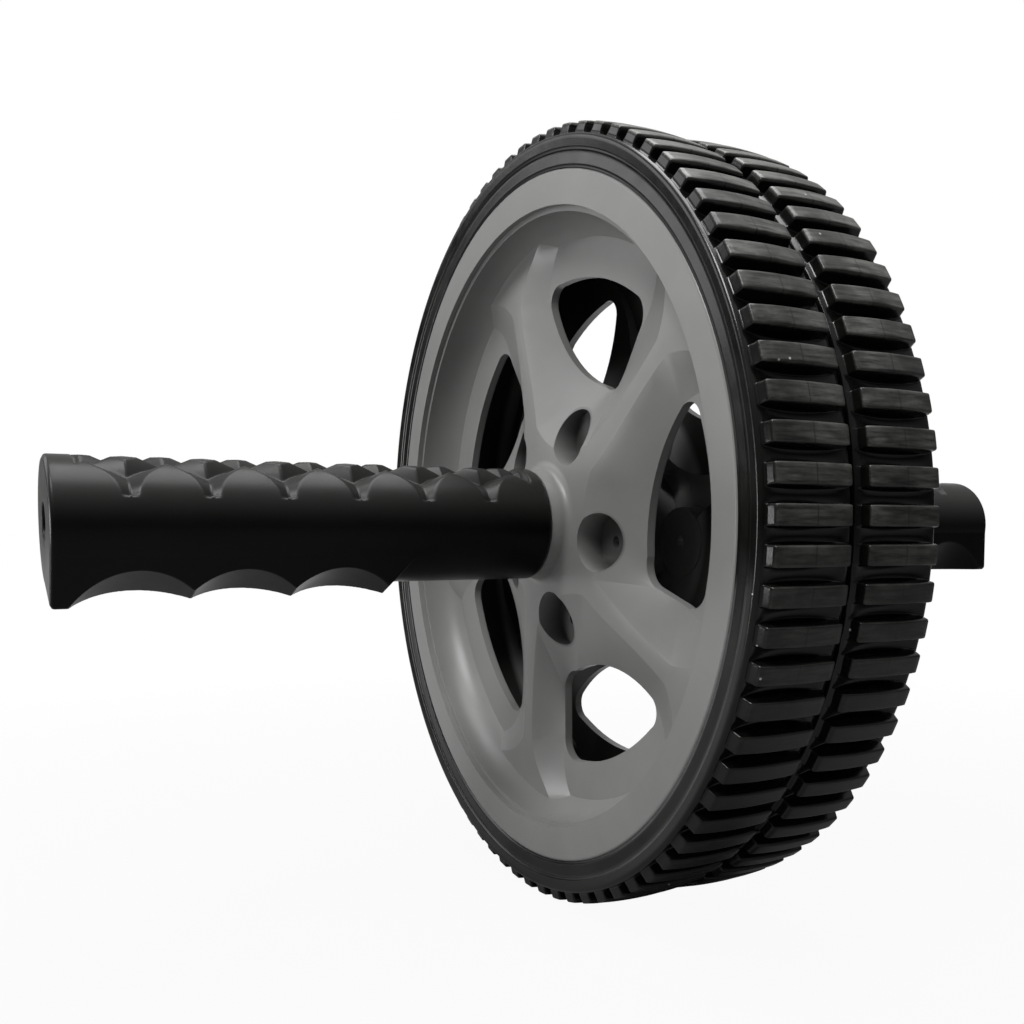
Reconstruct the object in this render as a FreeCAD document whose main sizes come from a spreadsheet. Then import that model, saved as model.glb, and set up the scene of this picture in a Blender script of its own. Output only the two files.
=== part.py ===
# Ab wheel roller: a double exercise wheel that spins on a steel axle between two moulded grips.
# Millimetres. Origin at the wheel's centre, +Y along the axle, +Z up.
import FreeCAD, Part
import math
import os
import Sketcher

doc = FreeCAD.newDocument("ab_wheel_roller")
vec = FreeCAD.Vector
sizes = doc.addObject("Spreadsheet::Sheet", "sizes")

axle_sizes = {
    "axle_radius": 5.0,
    "axle_chamfer": 0.8,
    "screw_radius": 2.0,
    "screw_depth": 13.0,
    "screw_head_radius": 3.5,
    "screw_head_height": 2.6,
    "screw_head_room": 0.3,
}
rim_sizes = {
    "rim_radius": 80.0,
    "rim_half_width": 20.7,
    "rim_edge_round": 0.8,
    "ring_width": 7.7,
    "ring_wall": 3.2,
    "step_depth": 1.4,
    "step_width": 1.2,
    "cove_radius": 12.0,
    "cove_wall": 3.6,
    "cove_width": 4.1,
    "recess_depth": 8.3,
    "barrel_wall": 3.5,
    "barrel_gap": 0.6,
    "hub_depth": 4.1,
    "hub_radius": 14.0,
    "web_wall": 3.6,
    "collar_radius": 12.6,
    "collar_base_radius": 13.2,
    "collar_round": 2.2,
    "collar_proud": 0.25,
    "spoke_count": 5,
    "window_margin": 9.0,
    "window_length": 23.2,
    "window_shoulder": 9.5,
    "window_sweep_radius": 38.0,
    "window_sweep_width": 22.0,
    "window_toe_width": 8.5,
    "window_heel_rise": 3.2,
    "window_heel_width": 15.2,
    "window_heel_radius": 5.2,
    "window_flank_width": 18.9,
    "window_high_width": 19.3,
    "window_high_radius": 4.0,
    "window_low_width": 16.5,
    "window_low_radius": 5.0,
    "scoop_depth": 10.8,
    "scoop_wall": 2.0,
    "scoop_overlap": 3.0,
    "scoop_corner_radius": 16.0,
    "scoop_top_half_width": 20.0,
    "mouth_foot": 17.9,
    "mouth_foot_half_width": 13.2,
    "mouth_foot_radius": 46.0,
    "mouth_flank_spread": 21.5,
    "mouth_flank_setback": 1.4,
    "mouth_top_half_width": 40.0,
    "mouth_corner_radius": 16.0,
    "dome_margin": 3.6,
    "window_twist": 12.5,
    "wheel_turn": 2.0,
    "well_place": 23.0,
    "well_radius": 6.2,
    "well_mouth_radius": 7.3,
    "well_floor_depth": 10.6,
    "well_wall": 1.9,
    "boss_end_depth": 13.1,
    "well_pin_radius": 1.4,
}
tyre_sizes = {
    "tyre_wall": 7.0,
    "lug_height": 3.0,
    "crown_drop": 0.5,
    "shoulder_round": 0.9,
    "shoulder_proud": 0.8,
    "shoulder_lip": 1.2,
    "lug_end_slope": 0.6,
    "side_line_rise": 3.7,
    "side_line_step": 0.35,
    "tyre_gap": 0.5,
    "lug_count": 78,
    "slot_width": 3.2,
    "slot_depth": 4.3,
    "slot_end_depth": 2.8,
    "slot_end_wall": 1.3,
    "tread_turn": 1.7,
}
inner_sizes = {
    "bush_wall": 2.0,
    "bush_setback": 0.6,
    "running_clearance": 0.05,
    "washer_radius": 9.5,
    "washer_thickness": 1.2,
    "washer_room": 0.3,
    "end_play": 0.15,
    "pin_radius": 1.5,
    "pin_length": 12.0,
    "pin_place": 10.5,
    "pin_count": 3,
    "pin_room": 0.05,
}
grip_sizes = {
    "grip_radius": 13.0,
    "grip_end": 125.4,
    "grip_edge_round": 0.8,
    "grip_end_wall": 4.0,
    "grip_gap": 0.3,
    "screw_pocket": 4.4,
    "ridge_face": 12.85,
    "ridge_nose": 1.0,
    "ridge_run_out": 2.8,
    "finger_radius": 17.7,
    "finger_pitch": 20.3,
    "finger_inset": 15.8,
    "finger_trough": 12.4,
    "finger_count": 3,
    "groove_width": 2.6,
    "groove_depth": 1.3,
    "groove_pitch": 15.0,
    "groove_reach": 11.5,
    "groove_rows": 3,
    "groove_end_margin": 4.9,
    "groove_start_margin": 3.2,
    "groove_apex": 14.95,
    "left_grip_turn": 22.0,
    "right_grip_turn": 45.0,
    "cut_overrun": 5.0,
}
row = 0
for table in (axle_sizes, rim_sizes, tyre_sizes, inner_sizes, grip_sizes):
    for alias, value in table.items():
        row += 1
        sizes.set("A%d" % row, alias)
        sizes.set("B%d" % row, str(value))
        sizes.setAlias("B%d" % row, alias)
doc.recompute()


def size(formula):
    return float(sizes.evalExpression(formula.replace("sizes.", "")))


def origin_feature(body, role):
    return [item for item in body.Origin.OriginFeatures if item.Role == role][0]


def new_sketch(body, role, name):
    sketch = body.newObject("Sketcher::SketchObject", name)
    sketch.AttachmentSupport = [(origin_feature(body, role), "")]
    sketch.MapMode = "FlatFace"
    return sketch


def bind(sketch, constraint, formula):
    index = sketch.addConstraint(constraint)
    sketch.setExpression("Constraints[%d]" % index, formula)


def pin_corner(sketch, geo, end, formula, kind, axis):
    # a corner on an axis of the sketch is held on it, any other one by its distance
    if formula == "0":
        sketch.addConstraint(Sketcher.Constraint("PointOnObject", geo, end, axis))
    else:
        bind(sketch, Sketcher.Constraint(kind, -1, 1, geo, end, size(formula)), formula)


def outline(sketch, corners):
    # closed outline: each corner is two formulas, and a third and fourth item make the edge
    # that leaves it an arc of that radius, turning left (1) or right (-1)
    points = [vec(size(item[0]), size(item[1]), 0) for item in corners]
    ends = []
    for index, item in enumerate(corners):
        start = points[index]
        stop = points[(index + 1) % len(points)]
        if len(item) == 2:
            ends.append((sketch.addGeometry(Part.LineSegment(start, stop)), 1, 2))
            continue
        radius = size(item[2])
        turn = item[3]
        chord = stop - start
        half = chord.Length / 2
        side = vec(-chord.y, chord.x, 0).normalize()
        centre = (start + stop) / 2 + side * (turn * math.sqrt(max(radius ** 2 - half ** 2, 0)))
        circle = Part.Circle(centre, vec(0, 0, 1), radius)
        first, last = (start, stop) if turn > 0 else (stop, start)
        angles = [math.atan2(p.y - centre.y, p.x - centre.x) for p in (first, last)]
        arc = sketch.addGeometry(Part.ArcOfCircle(circle, angles[0], angles[1]))
        ends.append((arc, 1, 2) if turn > 0 else (arc, 2, 1))
    for index, item in enumerate(corners):
        geo, start, stop = ends[index]
        following = ends[(index + 1) % len(ends)]
        sketch.addConstraint(Sketcher.Constraint("Coincident", geo, stop, following[0], following[1]))
    for index, item in enumerate(corners):
        geo, start, stop = ends[index]
        pin_corner(sketch, geo, start, item[0], "DistanceX", -2)
        pin_corner(sketch, geo, start, item[1], "DistanceY", -1)
        if len(item) > 2:
            bind(sketch, Sketcher.Constraint("Radius", geo, size(item[2])), item[2])


def turned_feature(body, kind, name, corners):
    # a profile turned about its sketch's own upright axis, added or cut
    sketch = new_sketch(body, "XY_Plane", name + "_profile")
    outline(sketch, corners)
    feature = body.newObject("PartDesign::" + kind, name)
    feature.Profile = sketch
    feature.ReferenceAxis = (sketch, ["V_Axis"])
    feature.Angle = 360
    return feature, sketch


def turned_piece(label, corners):
    body = doc.addObject("PartDesign::Body", label)
    turned_feature(body, "Revolution", label + "_turned", corners)
    return body


def shift_sketch(sketch, place, angle):
    # moves a sketch out along the spoke that stands at the given angle about the axle
    sketch.AttachmentOffset = FreeCAD.Placement(vec(size(place), 0, 0), FreeCAD.Rotation(vec(0, 1, 0), 1))
    sketch.setExpression("AttachmentOffset.Base.x", "%s * cos(%s * 1 deg)" % (place, angle))
    sketch.setExpression("AttachmentOffset.Base.z", "-%s * sin(%s * 1 deg)" % (place, angle))
    sketch.setExpression("AttachmentOffset.Rotation.Angle", angle)


def around_axle(body, features, count, name):
    pattern = body.newObject("PartDesign::PolarPattern", name)
    pattern.Originals = features
    pattern.Axis = (origin_feature(body, "Y_Axis"), [""])
    pattern.Angle = 360
    pattern.setExpression("Occurrences", count)
    body.Tip = pattern
    return pattern


def depth(side, formula):
    # a place along the axle, given as a depth below the rim's outer face
    return "%d * (sizes.rim_half_width - (%s))" % (side, formula)


def out(side, formula):
    return "%d * (%s)" % (side, formula)


bush_radius = "sizes.axle_radius + sizes.running_clearance + sizes.bush_wall"
ring_inner = "(sizes.rim_radius - sizes.ring_width)"
cove_top = "(%s - sizes.step_width)" % ring_inner
recess = "(%s - sizes.cove_width)" % cove_top
window_outer = "(%s - sizes.window_margin)" % recess
window_inner = "(%s - sizes.window_length)" % window_outer
window_flank = "(%s - sizes.window_shoulder)" % window_outer


def shield(body, name, side, corners):
    # closed outline about the +X spoke axis; each corner is a place along the spoke, a place across it
    # and, for a bulging edge, its radius; the far half of the wheel has it mirrored
    sketch = new_sketch(body, "XZ_Plane", name)
    rows = []
    for along, across, *radius in corners:
        rows.append((along, out(-side, across), *radius, side)[:4 if radius else 2])
    outline(sketch, rows)
    return sketch


def on_circle(radius, across):
    return "sqrt((%s)^2 - (%s)^2)" % (radius, across)


def leaf(body, name, side, high, low, outer):
    # leaning leaf about a spoke axis: a rounded heel near the hub, one flank swept in an arc, the other
    # straight, round corners and an outer arc about the axle; high and low are width and radius there
    heel = "%s + sizes.window_heel_rise" % window_inner
    return shield(body, name, side, [
        (heel, "-sizes.window_heel_width", "sizes.window_heel_radius"),
        (window_inner, "-sizes.window_toe_width", "sizes.window_sweep_radius"),
        (window_flank, "sizes.window_sweep_width", high[1]),
        (on_circle(outer, high[0]), high[0], outer),
        (on_circle(outer, low[0]), "-" + low[0], low[1]),
        (window_flank, "-sizes.window_flank_width"),
    ])


def window_cut(body, label, side):
    high = ("sizes.window_high_width", "sizes.window_high_radius")
    low = ("sizes.window_low_width", "sizes.window_low_radius")
    window = body.newObject("PartDesign::Pocket", label + "_window")
    window.Profile = leaf(body, label + "_window_outline", side, high, low, window_outer)
    window.Midplane = True
    window.setExpression("Length", "2 * sizes.rim_half_width")
    return window


def scoop_cut(body, label, side):
    # a dished surround for the window: its floor follows the window's foot and flanks, runs out under
    # the rim's cove, and rises in slanted walls to a wide mouth at the level of the hub
    corner = ("sizes.scoop_top_half_width", "sizes.scoop_corner_radius")
    floor = leaf(body, label + "_scoop_floor", side, corner, corner, "(%s + sizes.scoop_overlap)" % recess)
    floor.setExpression("AttachmentOffset.Base.z", "-(%s)" % depth(side, "sizes.scoop_depth"))
    foot = "sizes.mouth_foot + sizes.mouth_foot_radius - " + on_circle("sizes.mouth_foot_radius",
                                                                       "sizes.mouth_foot_half_width")
    flank = "%s - sizes.mouth_flank_setback" % window_flank
    flank_width = "(sizes.window_sweep_width + sizes.mouth_flank_spread)"
    top = on_circle(cove_top, "sizes.mouth_top_half_width")
    mouth = shield(body, label + "_scoop_mouth", side, [
        (foot, "-sizes.mouth_foot_half_width", "sizes.mouth_foot_radius"),
        (foot, "sizes.mouth_foot_half_width"),
        (flank, flank_width, "sizes.mouth_corner_radius"),
        (top, "sizes.mouth_top_half_width", cove_top),
        (top, "-sizes.mouth_top_half_width", "sizes.mouth_corner_radius"),
        (flank, "-" + flank_width),
    ])
    mouth.setExpression("AttachmentOffset.Base.z", "-(%s)" % depth(side, "sizes.hub_depth"))
    scoop = body.newObject("PartDesign::SubtractiveLoft", label + "_scoop")
    scoop.Profile = mouth
    scoop.Sections = [floor]
    scoop.Ruled = True
    return scoop


def wheel_half(label, side):
    # one grey moulding: hub, dished web with five scooped windows and five lug wells, and the rim
    convex = -side
    concave = side
    body = doc.addObject("PartDesign::Body", label)
    web_back = "sizes.hub_depth + sizes.web_wall"
    turned_feature(body, "Revolution", label + "_web", [
        (bush_radius, "0"),
        (bush_radius, depth(side, "-sizes.collar_proud")),
        ("sizes.collar_radius", depth(side, "-sizes.collar_proud")),
        ("sizes.collar_base_radius", depth(side, "sizes.hub_depth - sizes.collar_round"),
         "sizes.collar_round", concave),
        ("sizes.collar_base_radius + sizes.collar_round", depth(side, "sizes.hub_depth")),
        (recess, depth(side, "sizes.recess_depth")),
        (recess + " + sizes.cove_wall", depth(side, "sizes.recess_depth")),
        (recess + " + sizes.cove_wall", depth(side, "sizes.recess_depth + sizes.web_wall")),
        ("sizes.hub_radius", depth(side, web_back)),
        ("sizes.hub_radius", "0"),
    ])
    scoop_back = "sizes.scoop_depth + sizes.scoop_wall"
    dome_reach = "sizes.window_sweep_width + sizes.dome_margin"
    dome, sketch = turned_feature(body, "Revolution", label + "_dome", [
        ("0", depth(side, "sizes.recess_depth")),
        (dome_reach, depth(side, "sizes.recess_depth")),
        (dome_reach, depth(side, scoop_back)),
        ("0", depth(side, scoop_back)),
    ])
    shift_sketch(sketch, window_flank, "0")
    boss_radius = "sizes.well_radius + sizes.well_wall"
    twist = "%d * sizes.window_twist" % convex
    boss, sketch = turned_feature(body, "Revolution", label + "_boss", [
        ("0", depth(side, web_back)),
        (boss_radius, depth(side, web_back)),
        (boss_radius, depth(side, "sizes.boss_end_depth")),
        ("0", depth(side, "sizes.boss_end_depth")),
    ])
    shift_sketch(sketch, "sizes.well_place", twist)
    scoop = scoop_cut(body, label, side)
    window = window_cut(body, label, side)
    past_boss = "sizes.boss_end_depth + sizes.cut_overrun"
    well, sketch = turned_feature(body, "Groove", label + "_well", [
        ("0", depth(side, past_boss)),
        ("0", depth(side, "-sizes.cut_overrun")),
        ("sizes.well_mouth_radius", depth(side, "-sizes.cut_overrun")),
        ("sizes.well_radius", depth(side, "sizes.well_floor_depth")),
        ("sizes.well_pin_radius", depth(side, "sizes.well_floor_depth")),
        ("sizes.well_pin_radius", depth(side, past_boss)),
    ])
    shift_sketch(sketch, "sizes.well_place", twist)
    around_axle(body, [dome, boss, scoop, window, well], "sizes.spoke_count", label + "_spokes")
    turned_feature(body, "Revolution", label + "_rim", [
        (recess, depth(side, "sizes.scoop_depth"), "sizes.cove_radius", concave),
        (cove_top, depth(side, "sizes.step_depth")),
        (ring_inner, depth(side, "sizes.step_depth")),
        (ring_inner, depth(side, "0")),
        ("sizes.rim_radius - sizes.rim_edge_round", depth(side, "0"), "sizes.rim_edge_round", convex),
        ("sizes.rim_radius", depth(side, "sizes.rim_edge_round")),
        ("sizes.rim_radius", out(side, "sizes.barrel_gap")),
        ("sizes.rim_radius - sizes.barrel_wall", out(side, "sizes.barrel_gap")),
        ("sizes.rim_radius - sizes.barrel_wall", depth(side, "sizes.ring_wall")),
        (cove_top + " + sizes.cove_wall", depth(side, "sizes.ring_wall")),
        (recess + " + sizes.cove_wall", depth(side, scoop_back)),
        (recess, depth(side, scoop_back)),
    ])
    pin_hole, sketch = turned_feature(body, "Groove", label + "_pin_hole", [
        ("0", out(side, "-sizes.cut_overrun")),
        ("sizes.pin_radius + sizes.pin_room", out(side, "-sizes.cut_overrun")),
        ("sizes.pin_radius + sizes.pin_room", out(side, "sizes.pin_length / 2 + sizes.pin_room")),
        ("0", out(side, "sizes.pin_length / 2 + sizes.pin_room")),
    ])
    turn = "-sizes.wheel_turn" if side < 0 else "2 * sizes.window_twist - sizes.wheel_turn"
    shift_sketch(sketch, "sizes.pin_place", "-(%s)" % turn)
    around_axle(body, [pin_hole], "sizes.pin_count", label + "_pin_holes")
    turn_about_axle(body, turn)
    return body


def turn_about_axle(piece, angle):
    piece.Placement = FreeCAD.Placement(vec(0, 0, 0), FreeCAD.Rotation(vec(0, 1, 0), 1))
    piece.setExpression("Placement.Rotation.Angle", angle)


def tyre(label, side):
    # one black tread ring: seat, sidewall with a fine step, shoulder lip and a row of cross lugs
    convex = -side
    body = doc.addObject("PartDesign::Body", label)
    shoulder = "(sizes.rim_radius + sizes.tyre_wall)"
    tread = "(%s + sizes.lug_height)" % shoulder
    side_line = "(sizes.rim_radius + sizes.side_line_rise)"
    half_width = "(sizes.rim_half_width + sizes.shoulder_proud)"
    lug_edge = "%s - sizes.crown_drop" % tread
    lug_out = "%s - sizes.shoulder_lip - sizes.lug_end_slope" % half_width
    lug_in = "sizes.tyre_gap + sizes.shoulder_lip + sizes.lug_end_slope"
    lug_half = "(%s - (%s)) / 2" % (lug_out, lug_in)
    crown = "((%s)^2 + sizes.crown_drop^2) / (2 * sizes.crown_drop)" % lug_half
    turned_feature(body, "Revolution", label + "_section", [
        ("sizes.rim_radius", out(side, "sizes.tyre_gap")),
        ("sizes.rim_radius", depth(side, "0")),
        (side_line, depth(side, "0")),
        (side_line, depth(side, "-sizes.side_line_step")),
        (shoulder + " - sizes.shoulder_round", out(side, half_width), "sizes.shoulder_round", convex),
        (shoulder, out(side, half_width + " - sizes.shoulder_round")),
        (shoulder, out(side, half_width + " - sizes.shoulder_lip")),
        (lug_edge, out(side, lug_out), crown, convex),
        (lug_edge, out(side, lug_in)),
        (shoulder, out(side, "sizes.tyre_gap + sizes.shoulder_lip")),
        (shoulder, out(side, "sizes.tyre_gap")),
    ])
    # the gap between two lugs is deepest at mid width and rises to the shoulder at both ends
    slot_out = "%s - sizes.slot_end_wall" % half_width
    slot_in = "sizes.tyre_gap + sizes.slot_end_wall"
    slot_half = "(%s - (%s)) / 2" % (slot_out, slot_in)
    slot_sag = "(sizes.slot_depth - sizes.slot_end_depth)"
    slot_round = "((%s)^2 + %s^2) / (2 * %s)" % (slot_half, slot_sag, slot_sag)
    slot_end = "%s - sizes.slot_end_depth" % tread
    sketch = new_sketch(body, "XY_Plane", label + "_slot_outline")
    outline(sketch, [
        (slot_end, out(side, slot_in), slot_round, convex),
        (slot_end, out(side, slot_out)),
        (tread + " + sizes.cut_overrun", out(side, slot_out)),
        (tread + " + sizes.cut_overrun", out(side, slot_in)),
    ])
    slot = body.newObject("PartDesign::Pocket", label + "_slot")
    slot.Profile = sketch
    slot.Midplane = True
    slot.setExpression("Length", "sizes.slot_width")
    around_axle(body, [slot], "sizes.lug_count", label + "_slots")
    turn_about_axle(body, "sizes.tread_turn")
    return body


wall_end = "(sizes.grip_end - sizes.screw_pocket)"
axle_end = "(%s - sizes.grip_end_wall)" % wall_end
collar_face = "sizes.rim_half_width + sizes.collar_proud"
washer_seat = "sizes.rim_half_width + sizes.collar_proud + sizes.end_play + sizes.washer_thickness"
grip_near = "(%s + sizes.grip_gap)" % collar_face
groove_first = "(sizes.grip_end - sizes.groove_end_margin)"
groove_last = "(%s + sizes.groove_start_margin)" % grip_near
ridge_end = ("(sizes.grip_end - sizes.finger_inset - (sizes.finger_count - 0.5) * sizes.finger_pitch"
             " - sizes.ridge_run_out)")


def finger_scallops(body, label, side):
    # finger rests: a row of round scallops cut straight across the ridge, meeting in cusps
    clear = "(sizes.ridge_face * sqrt(2) + sizes.cut_overrun)"
    centre = "(sizes.finger_trough + sizes.finger_radius)"
    first = "sizes.grip_end - sizes.finger_inset"
    reach = "sqrt(sizes.finger_radius^2 - (%s - %s)^2)" % (centre, clear)
    cusp = "%s - sqrt(sizes.finger_radius^2 - (sizes.finger_pitch / 2)^2)" % centre
    corners = [(out(side, "%s + %s" % (first, reach)), "-" + clear, "sizes.finger_radius", -side)]
    for index in range(1, int(size("sizes.finger_count")) + 1):
        place = "%s - %d * sizes.finger_pitch / 2" % (first, 2 * index - 1)
        corners.append((out(side, place), "-(%s)" % cusp, "sizes.finger_radius", -side))
    corners[-1] = corners[-1][:2]
    corners.append((out(side, ridge_end), "-sizes.grip_radius"))
    corners.append((out(side, ridge_end), "-" + clear))
    sketch = new_sketch(body, "YZ_Plane", label + "_scallop_outline")
    outline(sketch, corners)
    scallops = body.newObject("PartDesign::Pocket", label + "_scallops")
    scallops.Profile = sketch
    scallops.Midplane = True
    scallops.setExpression("Length", "2 * (sizes.grip_radius + sizes.cut_overrun)")


def groove_lattice(label, side):
    # crossed straight grooves seen from above, kept to a skin of the grip's upper half
    skin = doc.addObject("Part::Cylinder", label + "_skin")
    skin.setExpression("Radius", "sizes.grip_radius + sizes.cut_overrun")
    core = doc.addObject("Part::Cylinder", label + "_core")
    core.setExpression("Radius", "sizes.grip_radius - sizes.groove_depth")
    start = groove_last if side > 0 else "-" + groove_first
    for cylinder in (skin, core):
        cylinder.setExpression("Height", "%s - %s" % (groove_first, groove_last))
        cylinder.Placement = FreeCAD.Placement(vec(0, 0, 0), FreeCAD.Rotation(vec(1, 0, 0), -90))
        cylinder.setExpression("Placement.Base.y", start)
    sleeve = doc.addObject("Part::Cut", label + "_sleeve")
    sleeve.Base = skin
    sleeve.Tool = core
    top = doc.addObject("Part::Box", label + "_top")
    top.setExpression("Length", "2 * sizes.groove_reach")
    top.setExpression("Width", "%s - %s" % (groove_first, groove_last))
    top.setExpression("Height", "sizes.grip_radius + sizes.cut_overrun")
    top.setExpression("Placement.Base.x", "-sizes.groove_reach")
    top.setExpression("Placement.Base.y", start)
    reach = size("sizes.groove_reach")
    pitch = size("sizes.groove_pitch")
    apex = size(grip_near + " + sizes.groove_apex")
    cross = size("sizes.groove_rows") * pitch / 2
    half_run = "sqrt(sizes.groove_reach^2 + (sizes.groove_rows * sizes.groove_pitch / 2)^2)"
    slant = math.degrees(math.atan2(cross, reach))
    strips = []
    first = math.floor((size(groove_last) - apex - 2 * cross) / pitch)
    last = math.ceil((size(groove_first) - apex) / pitch)
    for lean in (-1, 1):
        for index in range(first, last + 1):
            strip = doc.addObject("Part::Box", "%s_strip" % label)
            strip.setExpression("Length", "2 * (%s + sizes.cut_overrun)" % half_run)
            strip.setExpression("Width", "sizes.groove_width")
            strip.setExpression("Height", "sizes.grip_radius + sizes.cut_overrun")
            middle = vec(0, side * (apex + cross + index * pitch), 0)
            spin = FreeCAD.Rotation(vec(0, 0, 1), lean * slant)
            corner = vec(size(half_run + " + sizes.cut_overrun"), size("sizes.groove_width / 2"), 0)
            strip.Placement = FreeCAD.Placement(middle - spin.multVec(corner), spin)
            strips.append(strip)
    crossed = doc.addObject("Part::MultiFuse", label + "_crossed")
    crossed.Shapes = strips
    lattice = doc.addObject("Part::MultiCommon", label + "_lattice")
    lattice.Shapes = [crossed, sleeve, top]
    return lattice


def grip(label, side, turn):
    # one moulded grip: round barrel, square finger ridge with scallops below, crossed grooves above
    body = doc.addObject("PartDesign::Body", label + "_moulding")
    near = grip_near
    turned_feature(body, "Revolution", label + "_barrel", [
        ("0", out(side, near)),
        ("sizes.grip_radius - sizes.grip_edge_round", out(side, near)),
        ("sizes.grip_radius", out(side, near + " + sizes.grip_edge_round")),
        ("sizes.grip_radius", out(side, "sizes.grip_end - sizes.grip_edge_round")),
        ("sizes.grip_radius - sizes.grip_edge_round", out(side, "sizes.grip_end")),
        ("0", out(side, "sizes.grip_end")),
    ])
    # the ridge is a square corner whose two faces lie on the barrel's flanks, with a round nose
    foot = "(sizes.ridge_face / sqrt(2))"
    nose = "(sizes.ridge_nose / sqrt(2))"
    nose_drop = "((sizes.ridge_face - sizes.ridge_nose) * sqrt(2) + %s)" % nose
    sketch = new_sketch(body, "XZ_Plane", label + "_ridge_outline")
    outline(sketch, [
        ("0", "0"),
        ("-" + foot, "-" + foot),
        ("-" + nose, "-" + nose_drop, "sizes.ridge_nose", 1),
        (nose, "-" + nose_drop),
        (foot, "-" + foot),
    ])
    sketch.setExpression("AttachmentOffset.Base.z", "%d * %s" % (-side, ridge_end))
    ridge = body.newObject("PartDesign::Pad", label + "_ridge")
    ridge.Profile = sketch
    ridge.Reversed = side > 0
    ridge.setExpression("Length", "sizes.grip_end - %s" % ridge_end)
    finger_scallops(body, label, side)
    turned_feature(body, "Groove", label + "_bore", [
        ("0", out(side, near + " - sizes.cut_overrun")),
        ("sizes.washer_radius + sizes.washer_room", out(side, near + " - sizes.cut_overrun")),
        ("sizes.washer_radius + sizes.washer_room", out(side, washer_seat)),
        ("sizes.axle_radius", out(side, washer_seat)),
        ("sizes.axle_radius", out(side, axle_end)),
        ("sizes.screw_radius + sizes.screw_head_room", out(side, axle_end)),
        ("sizes.screw_radius + sizes.screw_head_room", out(side, wall_end)),
        ("sizes.screw_head_radius + sizes.screw_head_room", out(side, wall_end)),
        ("sizes.screw_head_radius + sizes.screw_head_room", out(side, "sizes.grip_end + sizes.cut_overrun")),
        ("0", out(side, "sizes.grip_end + sizes.cut_overrun")),
    ])
    handle = doc.addObject("Part::Cut", label)
    handle.Base = body
    handle.Tool = groove_lattice(label, side)
    turn_about_axle(handle, turn)
    return handle


def bush(label, side):
    return turned_piece(label, [
        ("sizes.axle_radius + sizes.running_clearance", out(side, "sizes.bush_setback")),
        (bush_radius, out(side, "sizes.bush_setback")),
        (bush_radius, out(side, collar_face + " - sizes.bush_setback")),
        ("sizes.axle_radius + sizes.running_clearance", out(side, collar_face + " - sizes.bush_setback")),
    ])


def washer(label, side):
    return turned_piece(label, [
        ("sizes.axle_radius + sizes.running_clearance", out(side, collar_face + " + sizes.end_play")),
        ("sizes.washer_radius", out(side, collar_face + " + sizes.end_play")),
        ("sizes.washer_radius", out(side, washer_seat)),
        ("sizes.axle_radius + sizes.running_clearance", out(side, washer_seat)),
    ])


def screw(label, side):
    tip = "%s - sizes.screw_depth + sizes.screw_head_room" % axle_end
    return turned_piece(label, [
        ("0", out(side, tip)),
        ("sizes.screw_radius", out(side, tip)),
        ("sizes.screw_radius", out(side, wall_end)),
        ("sizes.screw_head_radius", out(side, wall_end)),
        ("sizes.screw_head_radius", out(side, wall_end + " + sizes.screw_head_height")),
        ("0", out(side, wall_end + " + sizes.screw_head_height")),
    ])


def group(label, pieces):
    node = doc.addObject("Part::Compound", label)
    node.Links = pieces
    return node


hole_end = "%s - sizes.screw_depth" % axle_end
axle = turned_piece("axle_rod", [
    ("0", out(-1, hole_end)),
    ("sizes.screw_radius", out(-1, hole_end)),
    ("sizes.screw_radius", out(-1, axle_end)),
    ("sizes.axle_radius - sizes.axle_chamfer", out(-1, axle_end)),
    ("sizes.axle_radius", out(-1, axle_end + " - sizes.axle_chamfer")),
    ("sizes.axle_radius", axle_end + " - sizes.axle_chamfer"),
    ("sizes.axle_radius - sizes.axle_chamfer", axle_end),
    ("sizes.screw_radius", axle_end),
    ("sizes.screw_radius", hole_end),
    ("0", hole_end),
])
pins = []
for index in range(int(size("sizes.pin_count"))):
    pin = doc.addObject("Part::Cylinder", "dowel_pin")
    pin.setExpression("Radius", "sizes.pin_radius")
    pin.setExpression("Height", "sizes.pin_length")
    angle = 2 * math.pi * index / size("sizes.pin_count")
    place = vec(math.cos(angle), 0, -math.sin(angle)) * size("sizes.pin_place")
    pin.Placement = FreeCAD.Placement(place, FreeCAD.Rotation(vec(1, 0, 0), -90))
    pin.setExpression("Placement.Base.y", "-sizes.pin_length / 2")
    pins.append(pin)

nodes = [
    axle,
    grip("left_handle", -1, "-sizes.left_grip_turn"),
    grip("right_handle", 1, "-sizes.right_grip_turn"),
    group("handle_screws", [screw("left_screw", -1), screw("right_screw", 1)]),
    washer("left_washer", -1),
    washer("right_washer", 1),
    wheel_half("left_rim", -1),
    wheel_half("right_rim", 1),
    tyre("left_tyre", -1),
    tyre("right_tyre", 1),
    bush("left_bush", -1),
    bush("right_bush", 1),
    group("dowel_pins", pins),
]
doc.recompute()

for item in doc.Objects:
    if "Invalid" in item.State or "Error" in item.State:
        raise RuntimeError("%s did not build" % item.Label)
for node in nodes:
    if node.Shape.isNull() or not node.Shape.isValid():
        raise RuntimeError("%s has no valid solid" % node.Label)

os.makedirs("parts", exist_ok=True)
for node in nodes:
    node.Shape.exportStep("parts/%s.step" % node.Label)
    print("%-14s solids %d volume %.1f" % (node.Label, len(node.Shape.Solids), node.Shape.Volume))
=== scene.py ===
# Looks of the ab wheel roller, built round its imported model. In the dictionaries sizes are millimetres,
# angles degrees, noise scales per metre and lamp powers watts.
import math

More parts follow.
